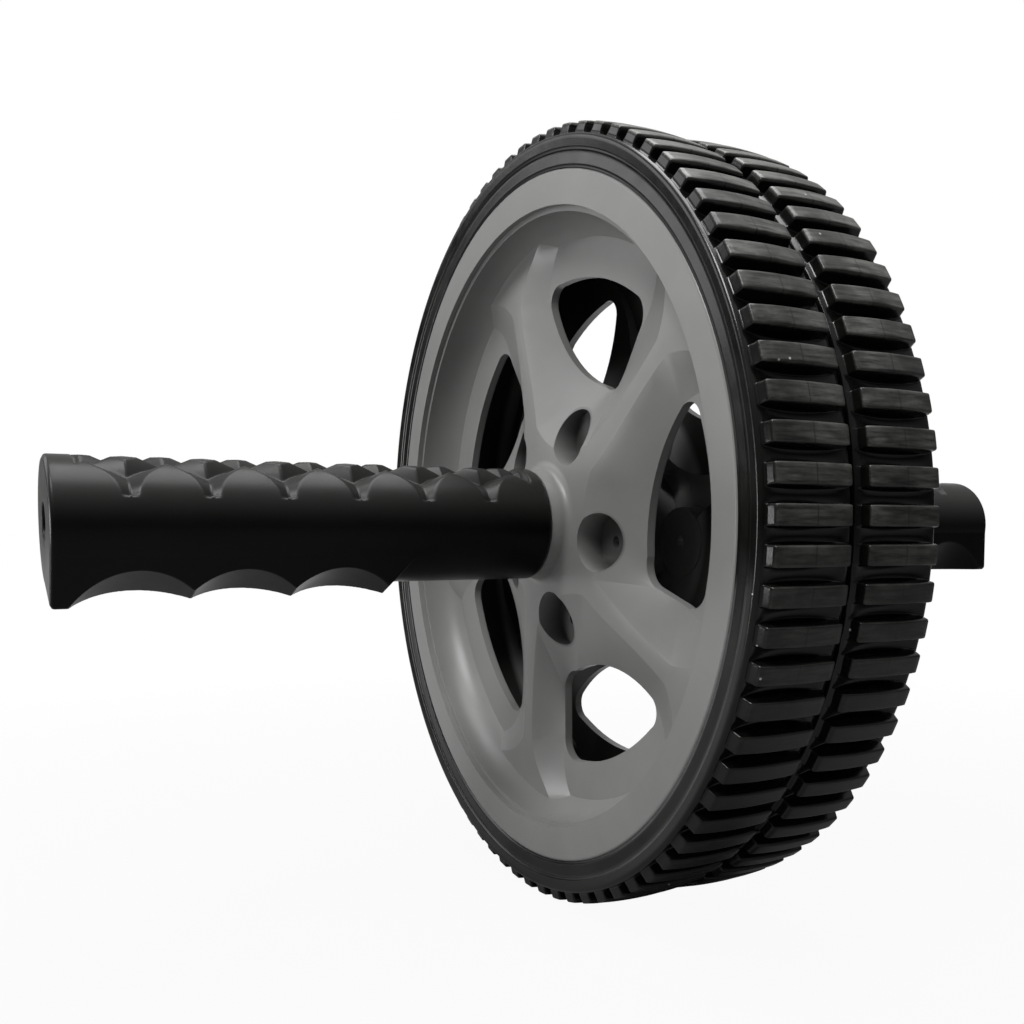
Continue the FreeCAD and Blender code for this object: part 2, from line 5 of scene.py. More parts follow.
import bmesh
import bpy
import numpy as np
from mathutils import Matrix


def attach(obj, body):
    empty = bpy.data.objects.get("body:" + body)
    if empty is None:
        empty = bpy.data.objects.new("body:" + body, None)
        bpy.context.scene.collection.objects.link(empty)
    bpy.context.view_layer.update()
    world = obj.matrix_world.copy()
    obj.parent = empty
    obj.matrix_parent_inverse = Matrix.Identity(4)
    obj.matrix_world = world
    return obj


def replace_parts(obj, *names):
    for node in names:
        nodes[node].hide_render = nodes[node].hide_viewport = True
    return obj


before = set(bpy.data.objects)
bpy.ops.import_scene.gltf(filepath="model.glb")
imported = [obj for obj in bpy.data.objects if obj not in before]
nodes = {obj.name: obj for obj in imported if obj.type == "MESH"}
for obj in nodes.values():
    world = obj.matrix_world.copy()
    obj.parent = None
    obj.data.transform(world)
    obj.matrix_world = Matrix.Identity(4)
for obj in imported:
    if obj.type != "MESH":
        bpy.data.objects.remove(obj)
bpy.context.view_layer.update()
scene = bpy.context.scene
scene.view_settings.view_transform = "Standard"
mm = 0.001
print("frame loaded:", len(nodes), "nodes")


def surfacePiece(name, grid, wrapRows, wrapCols):
    # a grid of points becomes quads between neighbours, wrapping where the surface closes on itself;
    # the quads are turned over if the volume they enclose comes out negative
    rows, cols = grid.shape[:2]
    index = np.arange(rows * cols).reshape(rows, cols)
    if wrapRows:
        index = np.vstack([index, index[:1]])
    if wrapCols:
        index = np.hstack([index, index[:, :1]])
    corners = [index[:-1, :-1], index[1:, :-1], index[1:, 1:], index[:-1, 1:]]
    quads = np.stack(corners, axis=-1).reshape(-1, 4)
    points = grid.reshape(-1, 3)
    corner = points[quads]
    volume = np.einsum("ij,ij->i", corner[:, 0], np.cross(corner[:, 1], corner[:, 2])).sum()
    volume += np.einsum("ij,ij->i", corner[:, 0], np.cross(corner[:, 2], corner[:, 3])).sum()
    if volume < 0:
        quads = quads[:, ::-1]
    mesh = bpy.data.meshes.new(name)
    mesh.vertices.add(len(points))
    mesh.vertices.foreach_set("co", points.reshape(-1).astype(np.float32))
    mesh.loops.add(quads.size)
    mesh.loops.foreach_set("vertex_index", quads.reshape(-1).astype(np.int32))
    mesh.polygons.add(len(quads))
    mesh.polygons.foreach_set("loop_start", np.arange(0, quads.size, 4, dtype=np.int32))
    mesh.update(calc_edges=True)
    mesh.polygons.foreach_set("use_smooth", np.ones(len(quads), dtype=bool))
    piece = bpy.data.objects.new(name, mesh)
    scene.collection.objects.link(piece)
    return piece


def closePoles(piece, gap):
    # rows of points that fall together on the axis become one point
    work = bmesh.new()
    work.from_mesh(piece.data)
    bmesh.ops.remove_doubles(work, verts=work.verts, dist=gap)
    work.to_mesh(piece.data)
    work.free()


def polyline(corners, steps):
    # points along straight runs between corners, each run divided into its own number of steps
    runs = [np.linspace(a, b, n, endpoint=False) for a, b, n in zip(corners[:-1], corners[1:], steps)]
    return np.vstack(runs + [np.array([corners[-1]], float)])


def allRound(section, columns):
    # the same section at every column round the axle
    return np.repeat(section[:, None, :], columns, axis=1)


def smoothStep(x, low, high):
    # 0 up to low, 1 from high on, with t^2 (3 - 2t) between them
    t = np.clip((x - low) / (high - low), 0, 1)
    return t * t * (3 - 2 * t)


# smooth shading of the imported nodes: merge, round the edges a little, keep sharp ones sharp
edgeSmoothing = {"sharpAngle": 12, "skinAngle": 62, "bevelAngle": 14, "bevelSegments": 2, "weld": 0.002}


def smoothingGroup(name, limit):
    group = bpy.data.node_groups.new(name, "GeometryNodeTree")
    group.interface.new_socket("Geometry", in_out="INPUT", socket_type="NodeSocketGeometry")
    group.interface.new_socket("Geometry", in_out="OUTPUT", socket_type="NodeSocketGeometry")
    start = group.nodes.new("NodeGroupInput")
    end = group.nodes.new("NodeGroupOutput")
    faces = group.nodes.new("GeometryNodeSetShadeSmooth")
    edges = group.nodes.new("GeometryNodeSetShadeSmooth")
    edges.domain = "EDGE"
    edges.inputs["Shade Smooth"].default_value = False
    angle = group.nodes.new("GeometryNodeInputMeshEdgeAngle")
    sharp = group.nodes.new("FunctionNodeCompare")
    sharp.data_type = "FLOAT"
    sharp.operation = "GREATER_THAN"
    sharp.inputs["B"].default_value = math.radians(limit)
    group.links.new(angle.outputs["Unsigned Angle"], sharp.inputs["A"])
    group.links.new(start.outputs[0], faces.inputs["Geometry"])
    group.links.new(faces.outputs["Geometry"], edges.inputs["Geometry"])
    group.links.new(sharp.outputs["Result"], edges.inputs["Selection"])
    group.links.new(edges.outputs["Geometry"], end.inputs[0])
    return group


nodeSmoothing = smoothingGroup("nodeSmoothing", edgeSmoothing["sharpAngle"])
skinSmoothing = smoothingGroup("skinSmoothing", edgeSmoothing["skinAngle"])


def smoothShade(piece, group):
    shade = piece.modifiers.new("smoothShade", "NODES")
    shade.node_group = group


def softenNode(node, width):
    weld = node.modifiers.new("weld", "WELD")
    weld.merge_threshold = edgeSmoothing["weld"] * mm
    if width:
        bevel = node.modifiers.new("edgeRound", "BEVEL")
        bevel.width = width * mm
        bevel.segments = edgeSmoothing["bevelSegments"]
        bevel.limit_method = "ANGLE"
        bevel.angle_limit = math.radians(edgeSmoothing["bevelAngle"])
        bevel.use_clamp_overlap = True
    smoothShade(node, nodeSmoothing)


noiseBand = (0.3, 0.7)  # where most of a noise's values lie


def newMaterial(name):
    material = bpy.data.materials.new(name)
    material.use_nodes = True
    tree = material.node_tree
    shader = tree.nodes["Principled BSDF"]
    coords = tree.nodes.new("ShaderNodeTexCoord")
    return material, tree, shader, coords.outputs["Object"]


def noiseOf(tree, vector, scale, detail=4, rough=0.55):
    noise = tree.nodes.new("ShaderNodeTexNoise")
    noise.inputs["Scale"].default_value = scale
    noise.inputs["Detail"].default_value = detail
    noise.inputs["Roughness"].default_value = rough
    tree.links.new(vector, noise.inputs["Vector"])
    return noise.outputs["Fac"]


def spread(tree, value, low, high, outLow, outHigh):
    ranged = tree.nodes.new("ShaderNodeMapRange")
    ranged.inputs["From Min"].default_value = low
    ranged.inputs["From Max"].default_value = high
    ranged.inputs["To Min"].default_value = outLow
    ranged.inputs["To Max"].default_value = outHigh
    tree.links.new(value, ranged.inputs["Value"])
    return ranged.outputs["Result"]


def mixColours(tree, factor, first, second):
    mixer = tree.nodes.new("ShaderNodeMix")
    mixer.data_type = "RGBA"
    tree.links.new(factor, mixer.inputs["Factor"])
    for socket, value in ((mixer.inputs["A"], first), (mixer.inputs["B"], second)):
        if hasattr(value, "is_output"):
            tree.links.new(value, socket)
        else:
            socket.default_value = (*value, 1)
    return mixer.outputs["Result"]


def mathsOf(tree, operation, first, second):
    maths = tree.nodes.new("ShaderNodeMath")
    maths.operation = operation
    for socket, value in zip(maths.inputs, (first, second)):
        if hasattr(value, "is_output"):
            tree.links.new(value, socket)
        else:
            socket.default_value = value
    return maths.outputs[0]


def productOf(tree, first, *others):
    for other in others:
        first = mathsOf(tree, "MULTIPLY", first, other)
    return first


def partsOf(tree, vector):
    parts = tree.nodes.new("ShaderNodeSeparateXYZ")
    tree.links.new(vector, parts.inputs[0])
    return parts.outputs


def dustOf(tree, vector, scale, spot, share):
    # a speck in a few cells of a cell pattern: near the cell's point, and only where its colour is high
    cells = tree.nodes.new("ShaderNodeTexVoronoi")
    cells.inputs["Scale"].default_value = scale
    tree.links.new(vector, cells.inputs["Vector"])
    split = tree.nodes.new("ShaderNodeSeparateColor")
    tree.links.new(cells.outputs["Color"], split.inputs["Color"])
    near = mathsOf(tree, "LESS_THAN", cells.outputs["Distance"], spot)
    chosen = mathsOf(tree, "GREATER_THAN", split.outputs["Red"], 1 - share)
    return productOf(tree, near, chosen)


def stretched(tree, vector, scale):
    stretch = tree.nodes.new("ShaderNodeMapping")
    stretch.inputs["Scale"].default_value = scale
    tree.links.new(vector, stretch.inputs["Vector"])
    return stretch.outputs["Vector"]


def bumpOf(tree, shader, height, distance, strength):
    bump = tree.nodes.new("ShaderNodeBump")
    bump.inputs["Distance"].default_value = distance
    bump.inputs["Strength"].default_value = strength
    tree.links.new(height, bump.inputs["Height"])
    tree.links.new(bump.outputs["Normal"], shader.inputs["Normal"])


def flatOf(tree, place):
    # the place with its part along the axle taken out
    flat = tree.nodes.new("ShaderNodeVectorMath")
    flat.operation = "MULTIPLY"
    flat.inputs[1].default_value = (1, 0, 1)
    tree.links.new(place, flat.inputs[0])
    return flat.outputs[0]


def axleDistance(tree, place):
    radius = tree.nodes.new("ShaderNodeVectorMath")
    radius.operation = "LENGTH"
    tree.links.new(flatOf(tree, place), radius.inputs[0])
    return radius.outputs["Value"]


def wellDistance(tree, place, look):
    # the least distance, seen along the axle, to one of the well axes set evenly round it
    flat, nearest = flatOf(tree, place), None
    for turn in np.radians(look["wellTurn"] + np.arange(look["wellCount"]) * 360 / look["wellCount"]):
        distance = tree.nodes.new("ShaderNodeVectorMath")
        distance.operation = "DISTANCE"
        tree.links.new(flat, distance.inputs[0])
        direction = (math.cos(turn), 0, math.sin(turn))
        distance.inputs[1].default_value = [look["wellPlace"] * mm * v for v in direction]
        value = distance.outputs["Value"]
        nearest = value if nearest is None else mathsOf(tree, "MINIMUM", nearest, value)
    return nearest


def wearAndTopLightOf(tree, place, look):
    # scuffing on the outermost faces, streaked along the axle, with a moulding seam at mid width
    outer = spread(tree, axleDistance(tree, place), look["wornFrom"] * mm, look["wornTo"] * mm, 0, 1)
    drawn = stretched(tree, place, look["streakStretch"])
    streaks = noiseOf(tree, drawn, look["streakScale"], detail=6, rough=0.65)
    streaks = spread(tree, streaks, *look["streakBand"], look["streakLeast"], 1)
    patches = noiseOf(tree, place, look["patchScale"], rough=0.6)
    patches = spread(tree, patches, *look["patchBand"], look["patchLeast"], 1)
    along = partsOf(tree, place)
    fromMiddle = mathsOf(tree, "ABSOLUTE", along["Y"], 0)
    fromSeam = mathsOf(tree, "ABSOLUTE", mathsOf(tree, "SUBTRACT", fromMiddle, look["seamPlace"] * mm), 0)
    seam = spread(tree, fromSeam, 0, look["seamHalf"] * mm, look["seamLeast"], 1)
    worn = productOf(tree, outer, streaks, productOf(tree, patches, seam))
    # more of it higher up, a painted light from above that makes the upper lugs lighter
    height = along["Z"]
    paintedTopLight = spread(tree, height, look["topLightLow"] * mm, look["topLightHigh"] * mm, *look["topLightShares"])
    crest = spread(tree, height, look["crestLow"] * mm, look["crestHigh"] * mm, 0, look["crestShare"])
    return productOf(tree, worn, mathsOf(tree, "ADD", paintedTopLight, crest)), outer


def paintedInsideShadeOf(tree, place, body, look):
    # painted shade on the faces that look into the hollow between the two halves: those near the
    # middle plane, and those whose normal points to it; the bosses round the hub get less of it
    across = partsOf(tree, place)["Y"]
    depth = mathsOf(tree, "ABSOLUTE", across, 0)
    near = spread(tree, depth, look["insideShadeFrom"] * mm, look["insideShadeTo"] * mm, 1, 0)
    normal = tree.nodes.new("ShaderNodeTexCoord").outputs["Normal"]
    outward = mathsOf(tree, "MULTIPLY", partsOf(tree, normal)["Y"], mathsOf(tree, "SIGN", across, 0))
    inward = spread(tree, outward, *look["inwardShadeBand"], 1, 0)
    fromAxle = axleDistance(tree, place)
    shadeBeyondBosses = spread(tree, fromAxle, look["bossFrom"] * mm, look["bossTo"] * mm, look["bossShadeShare"], 1)
    inside = productOf(tree, mathsOf(tree, "MAXIMUM", near, inward), shadeBeyondBosses)
    body = mixColours(tree, inside, body, look["insideShadeColour"])
    # painted shade that deepens down the wells
    deep = spread(tree, depth, look["wellDeep"] * mm, look["wellShallow"] * mm, 1, 0)
    fromWell = wellDistance(tree, place, look)
    within = spread(tree, fromWell, look["wellRadius"] * mm, look["wellEdge"] * mm, 1, 0)
    wellShade = productOf(tree, deep, within, mathsOf(tree, "SUBTRACT", 1, inward))
    return mixColours(tree, wellShade, body, look["wellShadeColour"])


def mouldedMaterial(name, look):
    # moulded plastic or rubber: soft mottling, uneven gloss, fine grain and a little dust
    material, tree, shader, place = newMaterial(name)
    mottle = spread(tree, noiseOf(tree, place, look["mottleScale"]), *noiseBand, 0, 1)
    body = mixColours(tree, mottle, look["dark"], look["light"])
    gloss = noiseOf(tree, place, look["glossScale"], detail=5, rough=0.6)
    rough = spread(tree, gloss, *noiseBand, look["roughLow"], look["roughHigh"])
    # real scuffing on the lug tops, with painted light making the upper lugs lighter
    if "wornColour" in look:
        worn, outer = wearAndTopLightOf(tree, place, look)
        body = mixColours(tree, worn, body, look["wornColour"])
        rough = mathsOf(tree, "MAXIMUM", rough, productOf(tree, outer, look["wornRough"]))
    # painted shade inside the rim's hollow and down its wells
    if "insideShadeColour" in look:
        body = paintedInsideShadeOf(tree, place, body, look)
    if "topLightColour" in look:
        # painted light: the upper side lighter, as if lit from above
        height = partsOf(tree, place)["Z"]
        paintedTopLight = spread(tree, height, look["topLightFrom"] * mm, look["topLightTo"] * mm, 0, 1)
        body = mixColours(tree, paintedTopLight, body, look["topLightColour"])
    dust = dustOf(tree, place, look["dustScale"], look["dustSpot"], look["dustShare"])
    body = mixColours(tree, dust, body, look["dustColour"])
    tree.links.new(body, shader.inputs["Base Color"])
    tree.links.new(rough, shader.inputs["Roughness"])
    shader.inputs["Specular IOR Level"].default_value = look["specular"]
    grain = noiseOf(tree, place, look["grainScale"], detail=3, rough=0.6)
    bumpOf(tree, shader, grain, look["grainDepth"] * mm, look["grainStrength"])
    return material


rimLook = {
    "dark": (0.185, 0.186, 0.182), "light": (0.215, 0.215, 0.210), "mottleScale": 38,
    "roughLow": 0.30, "roughHigh": 0.39, "glossScale": 60, "specular": 0.45,
    "grainScale": 2400, "grainDepth": 0.04, "grainStrength": 0.15,
    "dustScale": 95, "dustSpot": 0.028, "dustShare": 0.02, "dustColour": (0.75, 0.75, 0.74),
    # painted shade inside the hollow between the halves, lighter on the bosses
    "insideShadeColour": (0.028, 0.028, 0.026), "insideShadeFrom": 6.4, "insideShadeTo": 8.4,
    "inwardShadeBand": (-0.5, -0.1), "bossFrom": 30.5, "bossTo": 33, "bossShadeShare": 0.15,
    "wellCount": 5, "wellTurn": -10.5, "wellPlace": 23, "wellRadius": 6.5, "wellEdge": 7.1,
    # painted shade that deepens down the wells
    "wellDeep": 10.5, "wellShallow": 16.0, "wellShadeColour": (0.060, 0.060, 0.058),
}
tyreLook = {
    "dark": (0.0030, 0.0030, 0.0026), "light": (0.0075, 0.0075, 0.0068), "mottleScale": 90,
    "roughLow": 0.15, "roughHigh": 0.25, "glossScale": 220, "specular": 0.36,
    "grainScale": 1500, "grainDepth": 0.05, "grainStrength": 0.2,
    "dustScale": 210, "dustSpot": 0.055, "dustShare": 0.16, "dustColour": (0.50, 0.50, 0.48),
    "wornColour": (0.118, 0.118, 0.110), "wornFrom": 88.9, "wornTo": 89.45, "wornRough": 0.36,
    # painted light from above: the worn colour grows on the upper lugs
    "topLightLow": -45, "topLightHigh": 85, "topLightShares": (0.02, 2),
    "crestLow": 68, "crestHigh": 88, "crestShare": 2.5,
    "streakScale": 1300, "streakStretch": (1, 0.09, 1), "streakBand": (0.36, 0.66), "streakLeast": 0.15,
    "patchScale": 95, "patchBand": (0.36, 0.64), "patchLeast": 0.3,
    "seamPlace": 11.0, "seamHalf": 0.25, "seamLeast": 0.25,
}
gripLook = {
    "dark": (0.0007, 0.0007, 0.0006), "light": (0.0015, 0.0015, 0.0014), "mottleScale": 55,
    # painted light on the upper side
    "topLightColour": (0.020, 0.020, 0.019), "topLightFrom": -1, "topLightTo": 8.0,
    "roughLow": 0.29, "roughHigh": 0.37, "glossScale": 120, "specular": 0.17,
    "grainScale": 1700, "grainDepth": 0.04, "grainStrength": 0.14,
    "dustScale": 120, "dustSpot": 0.02, "dustShare": 0.02, "dustColour": (0.4, 0.4, 0.39),
}
nylonLook = {
    "dark": (0.56, 0.55, 0.50), "light": (0.66, 0.65, 0.60), "mottleScale": 80,
    "roughLow": 0.40, "roughHigh": 0.50, "glossScale": 150, "specular": 0.5,
    "grainScale": 1600, "grainDepth": 0.03, "grainStrength": 0.2,
    "dustScale": 120, "dustSpot": 0.02, "dustShare": 0.02, "dustColour": (0.30, 0.29, 0.27),
}
rimGrey = mouldedMaterial("rimGrey", rimLook)
tyreBlack = mouldedMaterial("tyreBlack", tyreLook)
gripBlack = mouldedMaterial("gripBlack", gripLook)
nylonPale = mouldedMaterial("nylonPale", nylonLook)


def steelMaterial(name, look):
    # drawn or plated steel: fine lines along the axle, small changes of gloss
    material, tree, shader, place = newMaterial(name)
    drawn = stretched(tree, place, look["lineStretch"])
    lines = noiseOf(tree, drawn, look["lineScale"], detail=5, rough=0.6)
    body = mixColours(tree, spread(tree, lines, *noiseBand, 0, 1), look["dark"], look["light"])
    rough = spread(tree, lines, *noiseBand, look["roughLow"], look["roughHigh"])
    tree.links.new(body, shader.inputs["Base Color"])
    tree.links.new(rough, shader.inputs["Roughness"])
    shader.inputs["Metallic"].default_value = 1
    bumpOf(tree, shader, lines, look["lineDepth"] * mm, look["lineStrength"])
    return material


steelLook = {
    "dark": (0.46, 0.46, 0.47), "light": (0.60, 0.60, 0.61), "lineStretch": (1, 0.03, 1), "lineScale": 1400,
    "roughLow": 0.22, "roughHigh": 0.36, "lineDepth": 0.01, "lineStrength": 0.3,
}
zincLook = {
    "dark": (0.40, 0.40, 0.42), "light": (0.58, 0.58, 0.59), "lineStretch": (1, 1, 1), "lineScale": 900,
    "roughLow": 0.28, "roughHigh": 0.42, "lineDepth": 0.01, "lineStrength": 0.3,
}
axleSteel = steelMaterial("axleSteel", steelLook)
screwZinc = steelMaterial("screwZinc", zincLook)
print("materials made")


def dress(piece, material):
    piece.data.materials.clear()
    piece.data.materials.append(material)


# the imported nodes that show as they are: name, material, width of the rounded edges
for nodeName, material, width in (
    ("left_rim", rimGrey, 0.5), ("right_rim", rimGrey, 0.5),
    ("axle_rod", axleSteel, 0), ("dowel_pins", axleSteel, 0),
    ("left_bush", nylonPale, 0), ("right_bush", nylonPale, 0),
    ("left_washer", nylonPale, 0.15), ("right_washer", nylonPale, 0.15),
):
    node = nodes[nodeName]
    for slotIndex in range(len(node.material_slots)):
        node.material_slots[slotIndex].link = "OBJECT"
        node.material_slots[slotIndex].material = material
    softenNode(node, width)
print("packed nodes dressed")


# tyres: the section of a lug and the section of a gap are mixed round the wheel
tyreForm = {
    "gap": 0.5, "seat": 80.0, "face": 20.7, "innerEdge": 0.25,
    "lineRadius": 83.7, "lineStep": 0.35, "lineFoot": 0.15, "lineLedge": 0.12, "lineTop": 0.08,
    "shoulder": 87.0, "shoulderHalf": 21.5, "shoulderRound": 0.9, "shoulderSteps": 5,
    "lip": 1.2, "lugSlope": 0.6,
    "tread": 89.98, "crown": 0.5, "floorSag": 1.35, "lugCount": 78, "slotWidth": 3.2, "turn": 1.7,
    "edgeRound": 0.22, "edgeShares": (0.3, 0.5, 0.1), "across": 17,
    # points round half a pitch: on the lug as shares of its half and as lengths before its edge, then beyond
    # the edge, with the share of the lug's height that stands at each of them and in the middle of the gap
    "topShares": (0, 0.28, 0.55), "beforeEdge": (0.5, 0.3, 0.16, 0.06), "beyondEdge": (0, 0.08, 0.16, 0.4),
    "standShares": (1, 1, 1, 1, 0.992, 0.97, 0.93, 0.80, 0.16, 0.05, 0, 0),
}


def lugPlaces(f):
    # places round one pitch, in millimetres from the lug's middle, and how much of the lug stands there:
    # all of it on top, rounding off towards the edge, falling steeply down the side to the gap's floor
    pitchArc = 2 * math.pi * f["tread"] / f["lugCount"]
    half = (pitchArc - f["slotWidth"]) / 2
    top = np.concatenate([half * np.array(f["topShares"]), half - np.array(f["beforeEdge"])])
    around = np.concatenate([top, half + np.array(f["beyondEdge"]), [pitchArc / 2]])
    stands = np.array(f["standShares"])
    return np.concatenate([-around[:0:-1], around[:-1]]), np.concatenate([stands[:0:-1], stands[:-1]])


def tyrePiece(name, side, f):
    pitch = 2 * math.pi / f["lugCount"]
    place, weight = lugPlaces(f)
    turn = pitch / 2 - math.radians(f["turn"])
    angle = (np.arange(f["lugCount"])[:, None] * pitch + place[None] / f["tread"]).reshape(-1) + turn
    weight = np.tile(weight, f["lugCount"])
    out, inner, bow = f["shoulderHalf"], f["gap"], f["shoulderRound"]
    # outer wall: two sidewall bands with a fine step between them, then a round shoulder
    face, line = f["face"], f["lineRadius"]
    wall = polyline([
        (face, f["seat"]), (face, line - f["lineFoot"]), (face + f["lineLedge"], line),
        (face + f["lineStep"], line + f["lineTop"]), (out, f["shoulder"] - bow),
    ], [4, 1, 1, 5])
    bend = np.linspace(0, math.pi / 2, f["shoulderSteps"] + 1)[1:]
    bendMiddle = np.array([out - bow, f["shoulder"] - bow])
    shoulder = bendMiddle + bow * np.stack([np.cos(bend), np.sin(bend)], axis=1)
    # a lug's top: steep ends, small round edges and a low crown, z = tread - crown * x^2
    foot, footIn = out - f["lip"], inner + f["lip"]
    lugOut, lugIn = foot - f["lugSlope"], footIn + f["lugSlope"]
    lugEdge = f["tread"] - f["crown"]
    share = np.linspace(-1, 1, f["across"])[1:-1]
    middle, reach = (lugOut + lugIn) / 2, (lugOut - lugIn) / 2
    crown = np.stack([middle - reach * share, f["tread"] - f["crown"] * share ** 2], axis=1)
    # a round edge starts a little outside the lug's end and ends a little inside it, just under the edge
    edgeOut, edgeIn, edgeDrop = [f["edgeRound"] * share for share in f["edgeShares"]]
    low, high = lugEdge - f["edgeRound"], lugEdge - edgeDrop
    top = np.vstack([
        polyline([(foot, f["shoulder"]), (lugOut + edgeOut, low), (lugOut - edgeIn, high)], [4, 1]),
        crown,
        polyline([(lugIn + edgeIn, high), (lugIn - edgeOut, low), (footIn, f["shoulder"])], [1, 4]),
    ])
    # the gap's floor is a long shallow hollow from lip to lip, r = shoulder - sag * (1 - x^2)
    share = np.linspace(-1, 1, len(top))
    floorRadius = f["shoulder"] - f["floorSag"] * (1 - share ** 2)
    bottom = np.stack([(foot + footIn) / 2 - (foot - footIn) / 2 * share, floorRadius], axis=1)
    innerWall = polyline([
        (inner + f["innerEdge"], f["shoulder"]), (inner, f["shoulder"] - f["innerEdge"]), (inner, f["seat"]),
    ], [1, 5])
    seat = polyline([(inner, f["seat"]), (face, f["seat"])], [4])[1:-1]
    # round the wheel each point of the tread is bottom + (top - bottom) * weight
    mixed = bottom[:, None, :] + (top - bottom)[:, None, :] * weight[None, :, None]
    outerRings = allRound(np.vstack([wall, shoulder]), len(angle))
    innerRings = allRound(np.vstack([innerWall, seat]), len(angle))
    section = np.vstack([outerRings, mixed, innerRings])
    along, radius = section[..., 0], section[..., 1]
    grid = np.stack([radius * np.cos(angle), side * along, radius * np.sin(angle)], axis=-1) * mm
    piece = surfacePiece(name, grid, True, True)
    dress(piece, tyreBlack)
    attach(piece, "wheel")
    return piece


for side, word in ((-1, "left"), (1, "right")):
    tyre = tyrePiece(word + "Tread", side, tyreForm)
    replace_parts(tyre, word + "_tyre")
    print(tyre.name, len(tyre.data.polygons), "faces")


# grips: one skin that runs along the outside, over the flat end and back through the bore
gripForm = {
    "near": 21.25, "end": 125.4, "radius": 13.0, "edge": 0.8,
    "ridgeFace": 12.85, "ridgeNose": 1.0, "ridgeReach": 80, "runOut": 2.8,
    "fingerRadius": 17.7, "fingerPitch": 20.3, "fingerStart": 109.6, "fingerTrough": 12.4, "fingers": 3,
    "groovePitch": 15.0, "grooveReach": 11.5, "grooveRows": 3, "grooveApex": 36.2,
    "grooveFirst": 120.5, "grooveLast": 24.4, "grooveFade": 0.5,
    "grooveHalf": 2.4, "grooveDepth": 2.3, "grooveTaper": 0.12, "taperFromShare": 0.5,
    "recess": 3.8, "recessDepth": 4.4, "recessEdge": 0.25, "recessRound": 0.07,
    "hole": 2.3, "bore": 5.0, "axleEnd": 117.0, "washer": 9.8, "seat": 22.3,
    "rows": 316, "grooveColumns": 112, "flankColumns": 27, "ridgeColumns": 112,
    "grooveSide": 84, "flankSide": 128, "capRings": 8, "footRings": 3, "turns": {"left": 22, "right": 45},
}


def gripAngles(f):
    # angles from the groove side: close together over the grooves and the finger ridge, wide on the flanks
    grooves, flank = math.radians(f["grooveSide"]), math.radians(f["flankSide"])
    return np.concatenate([
        np.linspace(-grooves, grooves, f["grooveColumns"], endpoint=False),
        np.linspace(grooves, flank, f["flankColumns"], endpoint=False),
        np.linspace(flank, 2 * math.pi - flank, f["ridgeColumns"], endpoint=False),
        np.linspace(2 * math.pi - flank, 2 * math.pi - grooves, f["flankColumns"], endpoint=False),
    ])


def ridgeRadius(f, around, along):
    # the finger ridge is a square corner, r = face / cos(45 deg - angle), with a round nose; straight cuts
    # across it leave r = height / cos(angle), where the height follows an arc for each finger and a slope
    # at the inner end
    fromRidge = np.abs(around - math.pi)
    root = math.sqrt(2)
    centre = (f["ridgeFace"] - f["ridgeNose"]) * root
    noseReach = np.maximum(f["ridgeNose"] ** 2 - (centre * np.sin(fromRidge)) ** 2, 0)
    nose = centre * np.cos(fromRidge) + np.sqrt(noseReach)
    face = f["ridgeFace"] / np.cos(math.pi / 4 - np.minimum(fromRidge, math.pi / 4))
    noseEnd = math.atan2(f["ridgeNose"] / root, centre + f["ridgeNose"] / root)
    corner = np.maximum(np.where(fromRidge < noseEnd, nose, face), f["radius"])
    low = f["fingerTrough"] + f["fingerRadius"]
    middles = f["fingerStart"] - f["fingerPitch"] * np.arange(f["fingers"])
    apart = np.minimum(np.abs(along[:, None] - middles[None]), f["fingerRadius"])
    height = (low - np.sqrt(f["fingerRadius"] ** 2 - apart ** 2)).min(axis=1)
    lastCusp = middles[-1] - f["fingerPitch"] / 2
    cusp = low - math.sqrt(f["fingerRadius"] ** 2 - (f["fingerPitch"] / 2) ** 2)
    slope = cusp + (f["radius"] - cusp) * (lastCusp - along) / f["runOut"]
    height = np.where(along < lastCusp, slope, height)
    limit = math.radians(f["ridgeReach"])
    reach = np.cos(np.minimum(fromRidge, limit))
    cut = np.minimum(corner[None], height[:, None] / reach[None])
    cut = np.where((fromRidge < limit)[None], cut, f["radius"])
    return np.where((along < lastCusp)[:, None], np.maximum(cut, f["radius"]), cut)


def grooveShare(f, around, along):
    # two families of straight V grooves seen from the groove side, which narrow towards the reach; inside the
    # reach the nearer line counts, beyond it both must, which ends each crossing in a point
    across = f["radius"] * np.sin(around)
    out = np.abs(across)[None]
    place = (along[:, None] - f["grooveApex"]) / f["groovePitch"] + f["grooveRows"] / 2
    lean = (across * f["grooveRows"] / 2 / f["grooveReach"])[None]
    perPitch = f["groovePitch"] / math.hypot(1, f["groovePitch"] * f["grooveRows"] / 2 / f["grooveReach"])
    first = np.abs(place - lean - np.round(place - lean)) * perPitch
    second = np.abs(place + lean - np.round(place + lean)) * perPitch
    toLine = np.where(out < f["grooveReach"], np.minimum(first, second), np.maximum(first, second))
    fade = f["grooveFade"]
    ends = smoothStep(along, f["grooveLast"], f["grooveLast"] + fade)
    ends = ends * smoothStep(-along, -f["grooveFirst"], fade - f["grooveFirst"])
    narrow = 1 - f["grooveTaper"] * smoothStep(out, f["taperFromShare"] * f["grooveReach"], f["grooveReach"])
    share = np.clip(1 - toLine / (f["grooveHalf"] * narrow), 0, 1)
    # the next row of crossings, which would start here, is left out
    nextCrossing = f["grooveReach"] * (1 + 0.5 / f["grooveRows"])
    return share * (out < nextCrossing) * (np.cos(around) > 0)[None] * ends[:, None]


